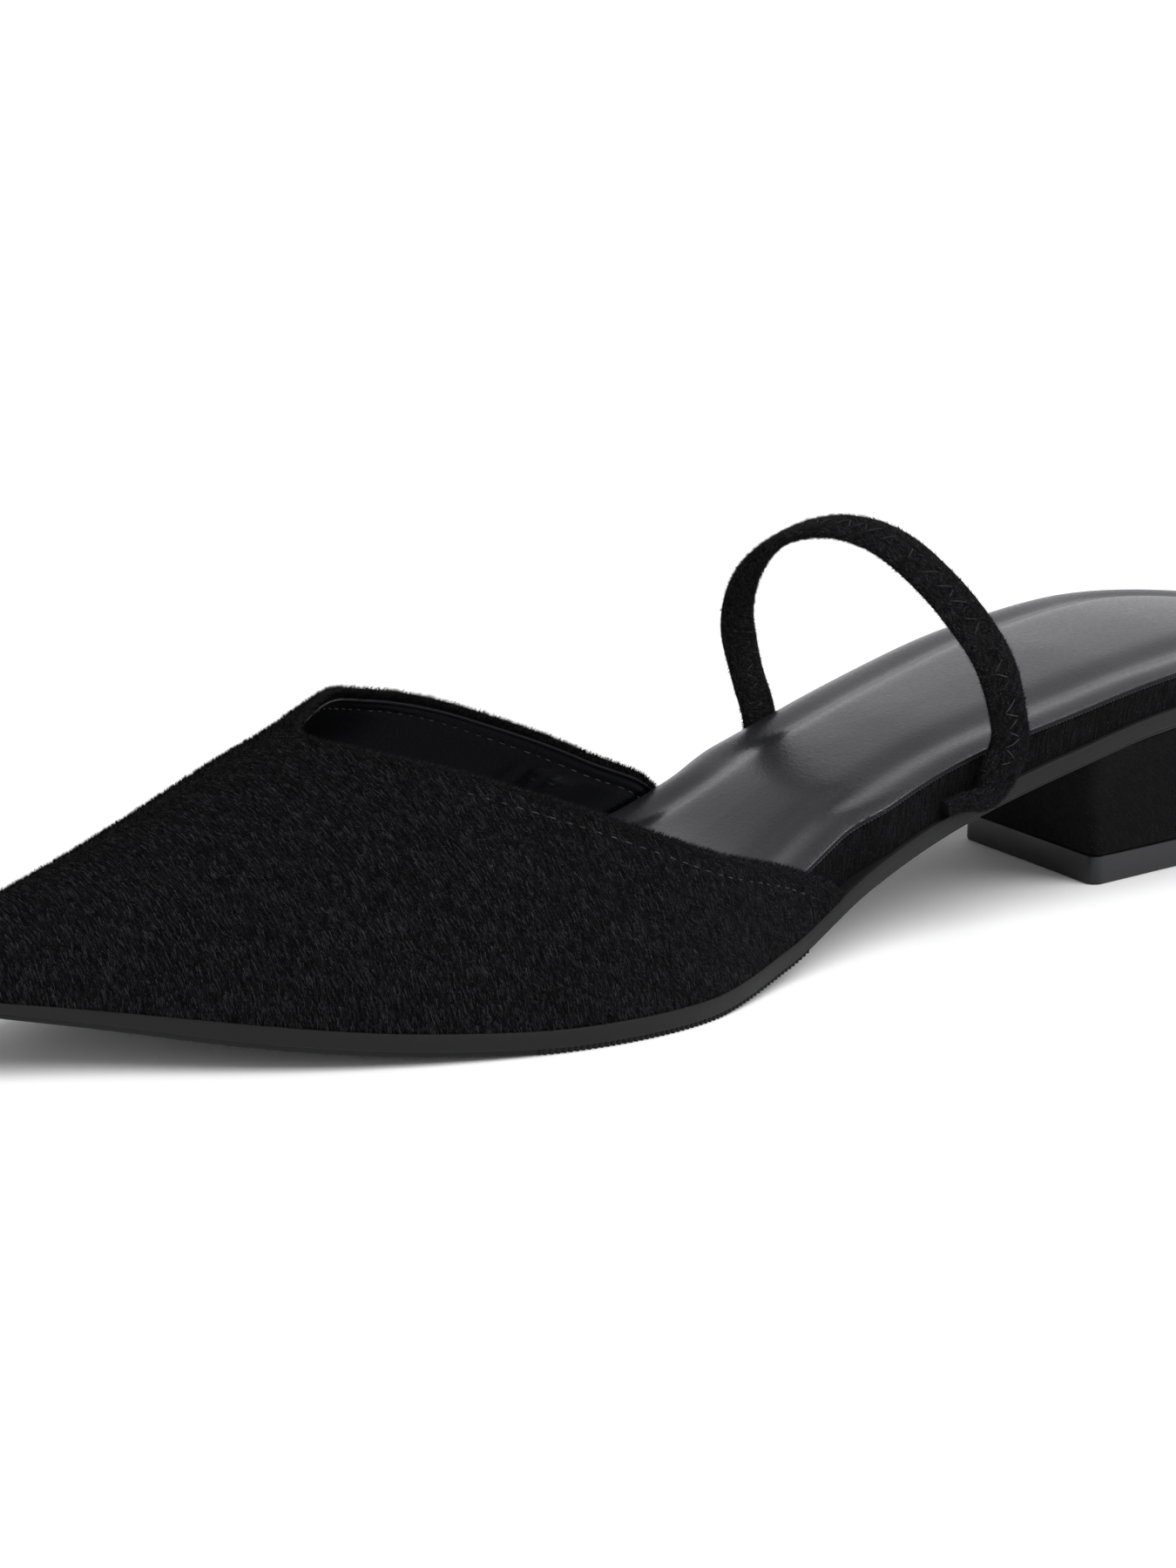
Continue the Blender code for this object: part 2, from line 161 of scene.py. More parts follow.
# Studio: white at the horizon, dimmer above WHITE_TO, a range of a direction's z. Overhead and
# before the toe it keeps a share of its light, reached over each one's own range.
SKY = (1.06, 1.06, 1.08)
WHITE_TO = (0.24, 0.34)
OVERHEAD = 0.35
OVERHEAD_FROM = (0.12, 0.9)
BEFORE_TOE = 0.25
BEFORE_TOE_FROM = (-0.85, 0.1)
LIGHT_SIDE = (0.5, 0.86, 0)
SUN_FROM = (0.5, 0.25, 1.0)
SUN_POWER = 2.8
SUN_ANGLE = np.radians(55)
FLOOR_TONE = 0.95
FLOOR_REACH = 100.0

# Camera: the roll is in radians, the lens and the sensor in mm
CAMERA_PLACE = (0.36415, -0.29010, 0.13697)
CAMERA_LOOK = (-0.7812, 0.5780, -0.2358)
CAMERA_ROLL = 0.016
CAMERA_LENS = 69.92
CAMERA_SENSOR = 36


def table(columns, *rows):
    """Rows of numbers as an array for each named column; the first one says where a row lies."""
    return dict(zip(columns.split(), np.array(rows, float).T))


# Shares of SOLE_LENGTH from the heel, of BALL_WIDTH for the outline's middle (to the lateral
# side) and its width, of HEEL_RISE and TOE_SPRING for its underside, and of OUTSOLE_THICKNESS.
SOLE = table(
    "along middle width rise spring thickness",
    (0.00, -0.0340, 0.727, 1.000, 0.00, 1.00),
    (0.06, -0.0330, 0.723, 0.990, 0.00, 1.00),
    (0.12, -0.0310, 0.717, 0.965, 0.00, 1.00),
    (0.20, -0.0280, 0.703, 0.890, 0.00, 1.00),
    (0.28, -0.0195, 0.668, 0.742, 0.00, 1.00),
    (0.36, -0.0040, 0.613, 0.555, 0.00, 1.00),
    (0.44, 0.0210, 0.627, 0.342, 0.00, 1.00),
    (0.52, 0.0345, 0.730, 0.082, 0.00, 1.00),
    (0.60, 0.0260, 0.930, 0.000, 0.00, 1.00),
    (0.68, -0.0050, 1.000, 0.000, 0.00, 1.00),
    (0.76, -0.0255, 0.894, 0.000, 0.10, 1.00),
    (0.84, -0.0330, 0.655, 0.000, 0.31, 1.00),
    (0.92, -0.0395, 0.340, 0.000, 0.64, 0.80),
    (1.00, -0.0405, 0.090, 0.000, 1.00, 0.55),
)

# Height of the footbed's edge over the outsole, as a share of RIM_HEIGHT, and how far the
# footbed has stepped in under the upper.
RIM = table(
    "along height under",
    (0.00, 0.72, 0),
    (0.12, 0.69, 0),
    (0.20, 0.65, 0),
    (0.28, 0.70, 0),
    (0.36, 0.82, 0),
    (0.42, 0.86, 0),
    (0.46, 0.87, 1),
    (0.56, 0.80, 1),
    (0.72, 0.62, 1),
    (1.00, 0.42, 1),
)

# The upper's crest over the feather line as a share of VAMP_HEIGHT, and how much narrower than
# an ellipse its section is towards the crest.
CREST = table(
    "along height lean",
    (0.40, 1.560, 0.26),
    (0.50, 1.480, 0.28),
    (0.60, 1.330, 0.32),
    (0.70, 1.165, 0.34),
    (0.74, 1.045, 0.34),
    (0.77, 0.930, 0.34),
    (0.80, 0.830, 0.32),
    (0.84, 0.683, 0.30),
    (0.88, 0.538, 0.26),
    (0.92, 0.405, 0.20),
    (0.96, 0.280, 0.10),
    (1.00, 0.180, 0.00),
)

# Where the topline lies, as a share of SOLE_LENGTH, round the section from the lateral
# feather line (0) over the crest (0.5) to the medial one (1).
TOPLINE = table(
    "around along",
    (0.00, 0.468),
    (0.05, 0.504),
    (0.10, 0.560),
    (0.20, 0.665),
    (0.30, 0.733),
    (0.40, 0.765),
    (0.45, 0.772),
    (0.50, 0.770),
    (0.55, 0.756),
    (0.60, 0.737),
    (0.65, 0.716),
    (0.70, 0.689),
    (0.80, 0.598),
    (0.90, 0.511),
    (0.95, 0.473),
    (1.00, 0.452),
)

# The strap's middle line from the lateral seam to the medial one: shares of SOLE_LENGTH, of the
# rim's half width, of STRAP_ARCH over the seam and of STRAP_WIDTH, and its tilt to the toe.
STRAP = table(
    "step along across lift width tilt",
    (0, 0.380, 1.000, 0.043, 0.36, 0.00),
    (1, 0.369, 1.030, 0.041, 0.42, 0.00),
    (2, 0.358, 1.065, 0.026, 0.55, 0.00),
    (3, 0.349, 1.080, 0.044, 0.78, 0.05),
    (4, 0.342, 1.090, 0.112, 0.95, 0.10),
    (5, 0.338, 1.105, 0.208, 1.00, 0.15),
    (6, 0.342, 1.12, 0.325, 1.00, 0.20),
    (7, 0.348, 1.12, 0.450, 1.00, 0.25),
    (8, 0.354, 1.06, 0.578, 1.00, 0.30),
    (9, 0.360, 0.95, 0.687, 1.00, 0.35),
    (10, 0.364, 0.80, 0.780, 1.00, 0.35),
    (11, 0.367, 0.59, 0.868, 1.00, 0.35),
    (12, 0.369, 0.34, 0.943, 1.00, 0.35),
    (13, 0.372, 0.07, 0.992, 1.00, 0.35),
    (14, 0.376, -0.22, 1.008, 1.00, 0.35),
    (15, 0.380, -0.50, 0.986, 1.00, 0.35),
    (16, 0.382, -0.77, 0.926, 1.00, 0.30),
    (17, 0.381, -1.02, 0.822, 1.00, 0.25),
    (18, 0.378, -1.20, 0.690, 1.00, 0.20),
    (19, 0.375, -1.28, 0.550, 1.00, 0.15),
    (20, 0.372, -1.26, 0.418, 1.00, 0.10),
    (21, 0.371, -1.18, 0.300, 1.00, 0.05),
    (22, 0.371, -1.08, 0.195, 1.00, 0.00),
    (23, 0.374, -1.03, 0.110, 0.95, 0.00),
    (24, 0.384, -1.02, 0.062, 0.75, 0.00),
    (25, 0.400, -1.01, 0.050, 0.50, 0.00),
    (26, 0.418, -1.00, 0.048, 0.35, 0.00),
)

# The lining behind its folded edge: how far back from the topline, and how far under the upper's
# outside, in mm. It is drawn in behind its row of stitches.
LINING_PROFILE = (
    (1.8, 1.80), (2.1, 1.88), (2.6, 1.84), (3.0, 1.72), (3.4, 1.72), (3.9, 1.80), (4.8, 1.80),
)

# Creases of the lining, low on the medial side: share of SOLE_LENGTH, place round the section,
# run along the sole per step round it, and share of CREASE_DEPTH. CREASE_LENGTH is a distance
# round the section.
CREASES = table(
    "along around run depth",
    (0.505, 0.885, 1.30, 0.60),
    (0.515, 0.905, 1.20, 0.80),
    (0.526, 0.890, 1.05, 0.60),
    (0.538, 0.910, 1.00, 0.90),
    (0.551, 0.900, 0.90, 0.70),
    (0.565, 0.915, 0.80, 0.80),
    (0.580, 0.905, 0.70, 0.50),
)
CREASE_WIDTH = 1.3 * MM
CREASE_DEPTH = 0.5 * MM
CREASE_LENGTH = 0.09


def smooth(rows, column, at):
    """A natural cubic spline through a table's column."""
    x, y = next(iter(rows.values())), rows[column]
    count = len(x)
    step = np.diff(x)
    system, right = np.eye(count), np.zeros(count)
    for i in range(1, count - 1):
        system[i, i - 1 : i + 2] = step[i - 1], 2 * (step[i - 1] + step[i]), step[i]
        right[i] = 6 * ((y[i + 1] - y[i]) / step[i] - (y[i] - y[i - 1]) / step[i - 1])
    bend = np.linalg.solve(system, right)
    at = np.clip(at, x[0], x[-1])
    i = np.clip(np.searchsorted(x, at, side="right") - 1, 0, count - 2)
    a, b = (x[i + 1] - at) / step[i], (at - x[i]) / step[i]
    bent = (a**3 - a) * bend[i] + (b**3 - b) * bend[i + 1]
    return a * y[i] + b * y[i + 1] + bent * step[i] ** 2 / 6


def steady(rows, column, at):
    """A cubic curve through a table's column that never overshoots, so level rows stay level."""
    x, y = next(iter(rows.values())), rows[column]
    step = np.diff(x)
    slope = np.diff(y) / step
    tangent = np.zeros(len(x))
    tangent[0], tangent[-1] = slope[0], slope[-1]
    for i in range(1, len(x) - 1):
        if slope[i - 1] * slope[i] > 0:
            tangent[i] = 2 / (1 / slope[i - 1] + 1 / slope[i])
    at = np.clip(at, x[0], x[-1])
    i = np.clip(np.searchsorted(x, at, side="right") - 1, 0, len(x) - 2)
    t = (at - x[i]) / step[i]
    level = y[i] * (2 * t**3 - 3 * t**2 + 1) + y[i + 1] * (3 * t**2 - 2 * t**3)
    return level + step[i] * (tangent[i] * (t**3 - 2 * t**2 + t) + tangent[i + 1] * (t**3 - t**2))


def rounding(distance, radius):
    """How much of the width is there at this distance from a round end: 0 to 1."""
    inward = np.clip(distance / radius, 0, 1)
    return np.sqrt(1 - (1 - inward) ** 2)


def unit(vectors):
    return vectors / np.linalg.norm(vectors, axis=-1, keepdims=True)


def dot(a, b):
    return (a * b).sum(-1, keepdims=True)


def middle(along):
    return BALL_WIDTH * smooth(SOLE, "middle", along / SOLE_LENGTH)


def full_half(along, inset=0.0):
    """Half of the outline's width without its round ends, inset on both sides."""
    return BALL_WIDTH / 2 * smooth(SOLE, "width", along / SOLE_LENGTH) - inset


def half_width(along, inset=0.0):
    """Half of the outline's width, inset all round."""
    heel = rounding(along - inset, HEEL_ROUND - inset)
    toe = rounding(SOLE_LENGTH - inset - along, TOE_ROUND)
    return full_half(along, inset) * heel * toe


def underside(along):
    """Height of the outsole's underside over the floor."""
    share = along / SOLE_LENGTH
    return HEEL_RISE * steady(SOLE, "rise", share) + TOE_SPRING * steady(SOLE, "spring", share)


def seam(along):
    """Height of the outsole's top face, where the footbed and the upper meet it."""
    return underside(along) + OUTSOLE_THICKNESS * steady(SOLE, "thickness", along / SOLE_LENGTH)


def rim_height(along):
    return RIM_HEIGHT * steady(RIM, "height", along / SOLE_LENGTH)


def upper_height(along, inset):
    toe = rounding(SOLE_LENGTH - inset - along, TOE_ROUND)
    return (VAMP_HEIGHT * smooth(CREST, "height", along / SOLE_LENGTH) - inset) * toe


def upper_narrowing(along, rise):
    """The upper's width at a share of its height, as a share of its width at the feather line."""
    return np.sqrt(1 - rise**2) * (1 - smooth(CREST, "lean", along / SOLE_LENGTH) * rise**2)


def footbed_half(along, height):
    """Half of the footbed's width at a height over the outsole, clear of the upper's inside."""
    under = steady(RIM, "under", along / SOLE_LENGTH)
    inset = RIM_INSET + (UPPER_INSET + UPPER_WALL + 2 * CLEARANCE - RIM_INSET) * under
    heel = rounding(along - RIM_INSET, HEEL_ROUND - RIM_INSET)
    toe = rounding(SOLE_LENGTH - FOOTBED_END - along, TOE_ROUND)
    filled = np.clip(height / upper_height(along, inset), 0, 0.98) * under
    return full_half(along, inset) * heel * toe * upper_narrowing(along, filled)


def walked_along(line):
    """Distance walked along a line at each of its points."""
    return np.concatenate([[0], np.cumsum(np.linalg.norm(np.diff(line, axis=0), axis=1))])


def place(along, across, up):
    """Points of the shoe, from their distance along the sole, across it and over the floor."""
    along, across, up = np.broadcast_arrays(along, across, up)
    return np.stack([across, SOLE_LENGTH / 2 - along, up], -1)


def sole_stations(start, end, spacing):
    """Distances along the sole, closer together in its round ends."""
    turn = np.linspace(0.01, np.pi / 2, 40)
    heel = start + HEEL_ROUND * (1 - np.cos(turn))
    toe = end - TOE_ROUND * (1 - np.cos(turn))
    between = np.arange(heel[-1] + spacing, toe[-1] - spacing, spacing)
    return np.concatenate([heel, between, toe[::-1]])


def grid(points, around=False, flipped=False):
    """Rows of points as a part: the points and the quads between them, closed round if asked."""
    rows, columns = points.shape[:2]
    index = np.arange(rows * columns).reshape(rows, columns)
    if around:
        index = np.hstack([index, index[:, :1]])
    quads = np.stack([index[:-1, :-1], index[:-1, 1:], index[1:, 1:], index[1:, :-1]], -1)
    if flipped:
        quads = quads[..., ::-1]
    return points.reshape(-1, 3), quads.reshape(-1, 4).tolist()


def loft(points, flipped=False):
    """Closed rings of points as a part, with a cap on each end."""
    corners, faces = grid(points, around=True, flipped=flipped)
    ring = points.shape[1]
    last = len(corners) - ring
    caps = [list(range(ring))[::-1], [last + i for i in range(ring)]]
    return corners, faces + [cap[::-1] if flipped else cap for cap in caps]


def tubes(paths, ups, radii, sides=6):
    """A tube along each path as a part; radii run along the path."""
    run = unit(np.gradient(paths, axis=1))
    side = unit(np.cross(run, ups))
    up = np.cross(side, run)
    turn = np.linspace(0, 2 * np.pi, sides, endpoint=False)[:, None]
    ring = side[..., None, :] * np.cos(turn) + up[..., None, :] * np.sin(turn)
    points = paths[..., None, :] + ring * np.asarray(radii)[..., None, None]
    count, steps = paths.shape[:2]
    index = np.arange(count * steps * sides).reshape(count, steps, sides)
    index = np.concatenate([index, index[..., :1]], axis=2)
    quads = [index[:, :-1, :-1], index[:, 1:, :-1], index[:, 1:, 1:], index[:, :-1, 1:]]
    return points.reshape(-1, 3), np.stack(quads, -1).reshape(-1, 4).tolist()


def nap(
    points, lean, count, seed,
    length=FIBRE_LENGTH, width=FIBRE_WIDTH, rise=FIBRE_RISE, spread=FIBRE_SPREAD, flipped=False,
):
    """Short fibres all over a sheet of points, each one a sliver that leans along the nap."""
    random = np.random.default_rng(seed)
    corner, right, down = points[:-1, :-1], points[:-1, 1:], points[1:, :-1]
    outward = np.cross(right - corner, down - corner).reshape(-1, 3)
    area = np.linalg.norm(outward, axis=1)
    pick = random.choice(len(area), count, p=area / area.sum())
    outward = outward[pick] / area[pick, None] * (-1 if flipped else 1)
    share = random.random((2, count, 1))
    root = corner.reshape(-1, 3)[pick]
    root = root + (right - corner).reshape(-1, 3)[pick] * share[0]
    root = root + (down - corner).reshape(-1, 3)[pick] * share[1]
    along = lean[:-1, :-1].reshape(-1, 3)[pick]
    along = unit(along + spread * np.cross(outward, along) * random.normal(size=(count, 1)))
    angle = random.uniform(*rise, (count, 1))
    grown = length * random.uniform(0.5, 1, (count, 1))
    tip = root + grown * (along * np.cos(angle) + outward * np.sin(angle))
    side = np.cross(along, outward) * width / 2
    corners = np.stack([root - side, root + side, tip], 1).reshape(-1, 3)
    return corners, np.arange(3 * count).reshape(-1, 3).tolist()


def fibre_tones(parts, seed):
    """A random tone for each sliver of nap, held at its three corners."""
    count = sum(len(corners) for corners, _ in parts) // 3
    tone = np.random.default_rng(seed).random(count) ** 3
    return np.repeat(tone, 9).reshape(-1, 3)


def piece(name, parts, material, replaced=(), flat=None, sharp=50):
    """One object made of parts, riding on the shoe; flat holds the cloth's own coordinates."""
    faces, first = [], 0
    for corners, shapes in parts:
        faces += [[first + i for i in shape] for shape in shapes]
        first += len(corners)
    mesh = bpy.data.meshes.new(name)
    mesh.from_pydata(np.concatenate([corners for corners, _ in parts]).tolist(), [], faces)
    mesh.shade_smooth()
    mesh.set_sharp_from_angle(angle=np.radians(sharp))
    if flat is not None:
        attribute = mesh.attributes.new("flat", "FLOAT_VECTOR", "POINT")
        attribute.data.foreach_set("vector", np.ascontiguousarray(flat, np.float32).ravel())
    mesh.materials.append(material)
    obj = bpy.data.objects.new(name, mesh)
    bpy.context.scene.collection.objects.link(obj)
    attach(obj, "root")
    if replaced:
        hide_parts(*replaced)
    return obj


def new_material(name, colour, roughness, specular):
    """A material with its shader, ready for its nodes."""
    material = bpy.data.materials.new(name)
    material.use_nodes = True
    shader = material.node_tree.nodes["Principled BSDF"]
    shader.inputs["Base Color"].default_value = (*colour, 1)
    shader.inputs["Roughness"].default_value = roughness
    shader.inputs["Specular IOR Level"].default_value = specular
    return material, shader


def scaled(colour, times):
    """A colour with each channel multiplied, up to 1."""
    return tuple(min(1.0, times * channel) for channel in colour)


def stored(tree):
    """The node that reads what a piece holds at its points: cloth coordinates or fibre tones."""
    node = tree.nodes.new("ShaderNodeAttribute")
    node.attribute_name = "flat"
    return node


def noise(tree, vector, scale, detail, roughness=0.5):
    """Noise with a scale per metre."""
    node = tree.nodes.new("ShaderNodeTexNoise")
    node.inputs["Scale"].default_value = scale
    node.inputs["Detail"].default_value = detail
    node.inputs["Roughness"].default_value = roughness
    tree.links.new(vector, node.inputs["Vector"])
    return node.outputs["Fac"]


def ranged(tree, value, low, high, to_low, to_high):
    """A value's range from low to high spread over another range."""
    node = tree.nodes.new("ShaderNodeMapRange")
    node.inputs["From Min"].default_value = low
    node.inputs["From Max"].default_value = high
    node.inputs["To Min"].default_value = to_low
    node.inputs["To Max"].default_value = to_high
    tree.links.new(value, node.inputs["Value"])
    return node.outputs["Result"]


def mixed(tree, share, first, second):
    """A colour between two, each a colour or a node's output."""
    node = tree.nodes.new("ShaderNodeMix")
    node.data_type = "RGBA"
    tree.links.new(share, node.inputs["Factor"])
    for name, colour in (("A", first), ("B", second)):
        socket = [s for s in node.inputs if s.name == name and s.type == "RGBA"][0]
        if isinstance(colour, tuple):
            socket.default_value = (*colour, 1)
        else:
            tree.links.new(colour, socket)
    return [s for s in node.outputs if s.type == "RGBA"][0]


def bump(tree, height, depth, strength, under=None):
    """A normal that follows a height, over another normal if there is one."""
    node = tree.nodes.new("ShaderNodeBump")
    node.inputs["Distance"].default_value = depth
    node.inputs["Strength"].default_value = strength
    tree.links.new(height, node.inputs["Height"])
    if under is not None:
        tree.links.new(under, node.inputs["Normal"])
    return node.outputs["Normal"]


def mapped(tree, vector, turn, scale):
    """Coordinates turned about their third axis and stretched."""
    turned = tree.nodes.new("ShaderNodeMapping")
    turned.inputs["Rotation"].default_value = (0, 0, turn)
    tree.links.new(vector, turned.inputs["Vector"])
    stretched = tree.nodes.new("ShaderNodeMapping")
    stretched.inputs["Scale"].default_value = scale
    tree.links.new(turned.outputs["Vector"], stretched.inputs["Vector"])
    return stretched.outputs["Vector"]


def suede(name, dark, light, turn):
    """Brushed suede cloth: fine strokes along the nap, cloudy patches and a few painted glints."""
    material, shader = new_material(name, dark, 1.0, 0.08)
    shader.inputs["Sheen Weight"].default_value = 0.012
    shader.inputs["Sheen Roughness"].default_value = 0.5
    shader.inputs["Sheen Tint"].default_value = (0.5, 0.5, 0.52, 1)
    tree = material.node_tree
    cloth = stored(tree).outputs["Vector"]
    strokes = noise(tree, mapped(tree, cloth, turn, (330, 2300, 1)), 1, 3, 0.6)
    grain = noise(tree, cloth, 2600, 2)
    patches = noise(tree, cloth, 70, 2)
    glint_specks = noise(tree, cloth, 5200, 0)
    tone = mixed(tree, ranged(tree, strokes, 0.42, 0.62, 0, 1), dark, light)
    tone = mixed(tree, ranged(tree, patches, 0.3, 0.7, 0.0, 0.35), tone, dark)
    # Painted highlight: sparse specks many times the light tone, standing in for glints off single
    # fibres.
    tone = mixed(tree, ranged(tree, glint_specks, 0.755, 0.80, 0, 0.8), tone, scaled(light, 9))
    tree.links.new(tone, shader.inputs["Base Color"])
    normal = bump(tree, grain, 0.25 * MM, 0.5)
    tree.links.new(bump(tree, strokes, 0.6 * MM, 0.9, normal), shader.inputs["Normal"])
    return material


def loose_fibres(name, dark, light):
    """Fibres of the nap, each with its own tone, most of them dark."""
    material, shader = new_material(name, dark, 1.0, 0.1)
    tree = material.node_tree
    tone = mixed(tree, stored(tree).outputs["Fac"], dark, light)
    tree.links.new(tone, shader.inputs["Base Color"])
    return material


def leather(name, colour, roughness, pores, specular):
    """Smooth synthetic leather with fine pores and soft unevenness."""
    material, shader = new_material(name, colour, roughness, specular)
    shader.inputs["Specular Tint"].default_value = (0.93, 0.93, 1.0, 1)
    tree = material.node_tree
    place_in = tree.nodes.new("ShaderNodeTexCoord").outputs["Object"]
    cells = tree.nodes.new("ShaderNodeTexVoronoi")
    cells.inputs["Scale"].default_value = pores
    tree.links.new(place_in, cells.inputs["Vector"])
    soft = noise(tree, place_in, 55, 3)
    fine = noise(tree, place_in, 1500, 3, 0.6)
    tone = mixed(tree, ranged(tree, soft, 0.35, 0.65, 0, 1), colour, scaled(colour, 1.25))
    tree.links.new(tone, shader.inputs["Base Color"])
    rough = ranged(tree, fine, 0.3, 0.7, roughness - 0.04, roughness + 0.06)
    tree.links.new(rough, shader.inputs["Roughness"])
    normal = bump(tree, cells.outputs["Distance"], 0.04 * MM, 0.5)
    normal = bump(tree, fine, 0.05 * MM, 0.4, normal)
    tree.links.new(bump(tree, soft, 0.6 * MM, 0.25, normal), shader.inputs["Normal"])
    return material


def rubber(name, colour, roughness, specular):
    """Moulded rubber with a faint grain and slightly uneven gloss."""
    material, shader = new_material(name, colour, roughness, specular)
    tree = material.node_tree
    place_in = tree.nodes.new("ShaderNodeTexCoord").outputs["Object"]
    grain = noise(tree, place_in, 2400, 3, 0.6)
    clouds = noise(tree, place_in, 90, 3)
    tone = mixed(tree, ranged(tree, clouds, 0.35, 0.65, 0, 1), colour, scaled(colour, 1.3))
    tree.links.new(tone, shader.inputs["Base Color"])
    rough = ranged(tree, clouds, 0.3, 0.7, roughness - 0.06, roughness + 0.06)
    tree.links.new(rough, shader.inputs["Roughness"])
    tree.links.new(bump(tree, grain, 0.06 * MM, 0.5), shader.inputs["Normal"])
    return material


def yarn(name, colour, roughness):
    """Sewing thread or beads: matt, with a little colour variation."""
    material, shader = new_material(name, colour, roughness, 0.3)
    tree = material.node_tree
    place_in = tree.nodes.new("ShaderNodeTexCoord").outputs["Object"]
    share = ranged(tree, noise(tree, place_in, 700, 2), 0.35, 0.65, 0, 1)
    tone = mixed(tree, share, scaled(colour, 0.45), colour)
    tree.links.new(tone, shader.inputs["Base Color"])
    return material


SUEDE = suede("suede", (0.0007, 0.0007, 0.0009), (0.0070, 0.0070, 0.0080), NAP_ANGLE)
# A copy of the suede with a dimmer light tone for the heel block: painted shade, as the block
# stands in the shade under the sole.
SHADED_HEEL_SUEDE = suede("shaded_heel_suede", (0.0022, 0.0022, 0.0025), (0.0050, 0.0050, 0.0056), 0.2)
STRAP_SUEDE = suede("strap_suede", (0.0020, 0.0020, 0.0023), (0.0110, 0.0110, 0.0120), 0.3)
FIBRES = loose_fibres("fibres", (0.0012, 0.0012, 0.0015), (0.0300, 0.0300, 0.0325))
STRAP_FIBRES = loose_fibres("strap_fibres", (0.0022, 0.0022, 0.0025), (0.0440, 0.0440, 0.0470))
LINING = leather("lining", (0.0016, 0.0018, 0.0023), 0.30, 1700, 0.24)
SOCK = leather("sock", (0.0105, 0.0107, 0.0125), 0.30, 1500, 0.95)
# The insole's edge faces: a darker, matt copy of the sock's leather, painted shade for the dark
# line where the insole meets the rim.
SHADED_SOCK_EDGE = leather("shaded_sock_edge", (0.0040, 0.0040, 0.0046), 0.60, 1500, 0.15)
OUTSOLE = rubber("outsole_rubber", (0.0036, 0.0037, 0.0042), 0.55, 0.25)
LIFT = rubber("lift_rubber", (0.0110, 0.0113, 0.0125), 0.50, 0.35)
THREAD = yarn("thread", (0.0480, 0.0480, 0.0520), 0.7)
BEAD = yarn("bead", (0.0220, 0.0220, 0.0240), 0.6)
STRAP_THREAD = yarn("strap_thread", (0.0400, 0.0400, 0.0440), 0.8)


def upper_surface(along, around):
    """The upper's outside; around runs from the lateral feather line (0) to the medial one (1)."""
    toe = rounding(SOLE_LENGTH - UPPER_INSET - along, TOE_ROUND)
    rise = np.sin(np.pi * around)
    lean = 1 - smooth(CREST, "lean", along / SOLE_LENGTH) * rise**2
    across = middle(along) + full_half(along, UPPER_INSET) * toe * np.cos(np.pi * around) * lean
    return place(along, across, seam(along) + CLEARANCE + upper_height(along, UPPER_INSET) * rise)


def upper_frame(along, around):
    """Unit vectors at a point of the upper: to the toe, round to the medial side, and outward."""
    near, turn = 0.05 * MM, 0.001
    to_toe = unit(upper_surface(along + near, around) - upper_surface(along - near, around))
    medial = unit(upper_surface(along, around + turn) - upper_surface(along, around - turn))
    return to_toe, medial, unit(np.cross(medial, to_toe))


def from_topline(around, back):
    """Where along the sole the upper lies at a distance back from its topline."""
    turn = 0.001

    def edge(at):
        return SOLE_LENGTH * smooth(TOPLINE, "along", at)

    def topline(at):
        return upper_surface(edge(at), at)

    to_toe = upper_frame(edge(around), around)[0]
    line = unit(topline(around + turn) - topline(around - turn))
    square = np.linalg.norm(to_toe - line * dot(to_toe, line), axis=-1)
    return edge(around) + back / square


def upper_at(around, back, depth):
    """A point of the upper at a distance from its topline and a depth under its outside."""
    along = from_topline(around, back)
    outward = upper_frame(along, around)[2]
    return upper_surface(along, around) - outward * np.asarray(depth)[..., None]


def across_upper(count):
    """Places round the upper's section, closer together at the feather lines."""
    share = np.linspace(0, 1, count)
    return share - 0.06 * np.sin(2 * np.pi * share)


def tucked(points):
    """A sheet of the upper with its two bottom edges turned in under it."""
    sides = []
    for edge, beside in ((points[:, 0], points[:, -1]), (points[:, -1], points[:, 0])):
        inward = unit((beside - edge) * (1, 0, 0) + (1e-9, 0, 0))
        room = np.linalg.norm(beside - edge, axis=1, keepdims=True) / 3
        sides.append(
            [edge + inward * np.minimum(in_by, room) - (0, 0, down) for in_by, down in TUCK]
        )
    lateral, medial = sides
    return np.concatenate([np.stack(lateral[::-1], 1), points, np.stack(medial, 1)], axis=1)


def upper_cloth(along, around):
    """The cloth's own coordinates on the upper: back along the sole, and over from the crest."""
    share = np.linspace(0, 1, 25)[:, None, None]
    line = upper_surface(along, 0.5 + (around - 0.5) * share)
    over = np.linalg.norm(np.diff(line, axis=0), axis=-1).sum(axis=0) * np.sign(around - 0.5)
    return np.stack([-along, over, np.zeros_like(over)], -1)


def upper_nap(along, around):
    """Unit vectors in which the upper's nap is brushed: back, and down on the lateral side."""
    _, medial, outward = upper_frame(along, around)
    back = np.cross(medial, outward)
    return unit(back * np.cos(NAP_ANGLE) - medial * np.sin(NAP_ANGLE))


